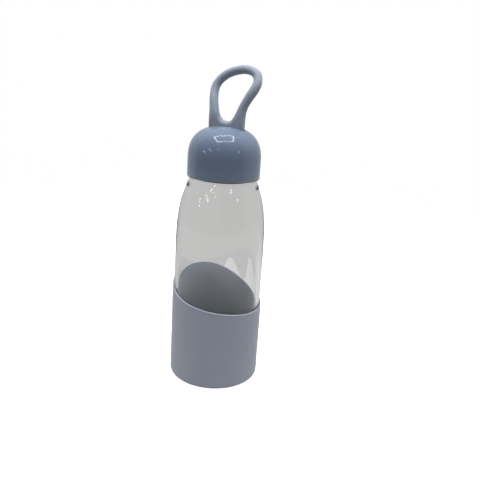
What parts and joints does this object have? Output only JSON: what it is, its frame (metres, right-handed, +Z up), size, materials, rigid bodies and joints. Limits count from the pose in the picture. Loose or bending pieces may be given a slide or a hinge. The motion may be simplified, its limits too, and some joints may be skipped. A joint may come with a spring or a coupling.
{
  "type": "glass water bottle",
  "caption": "Glass water bottle in a silicone sleeve, with a screw-on dome cap that carries a silicone loop.",
  "frame": {"origin": "centre of the sleeve's base, on the surface that the bottle stands on", "axes": "+Z up along the bottle's axis; the plane of the loop's foot is turned 22 degrees clockwise from +X, seen from above, and the loop leans back towards +Y"},
  "size_m": [0.0692, 0.0692, 0.233],
  "materials": {
    "sleeve_silicone": "matt, grey-blue",
    "clear_glass": "clear, polished",
    "seal_silicone": "matt, milky white",
    "liner_plastic": "satin, white",
    "cap_plastic": "high gloss, grey-blue",
    "strap_silicone": "matt, grey-blue",
    "pin_steel": "drawn steel"
  },
  "bodies": {
    "sleeve": {"silicone_sleeve": "sleeve_silicone"},
    "bottle": {"glass_bottle": "clear_glass"},
    "seal": {"seal_ring": "seal_silicone"},
    "cap": {"cap_liner": "liner_plastic", "cap_shell": "cap_plastic", "carry_strap": "strap_silicone", "strap_pin": "pin_steel"}
  },
  "joints": [
    {"name": "bottle_lift", "type": "slide", "parent": "sleeve", "child": "bottle", "axis": [0, 0, 1], "range_m": [0, 0.08]},
    {"name": "cap_lift", "type": "slide", "parent": "bottle", "child": "seal", "axis": [0, 0, 1], "range_m": [0, 0.02327]},
    {"name": "cap_turn", "type": "hinge", "parent": "seal", "child": "cap", "pos_m": [0, 0, 0.1665], "axis": [0, 0, 1], "range_deg": [0, 1980]}
  ],
  "couplings": [
    {"joint": "cap_lift", "follows": "cap_turn", "m_per_rad": 0.00067322}
  ]
}
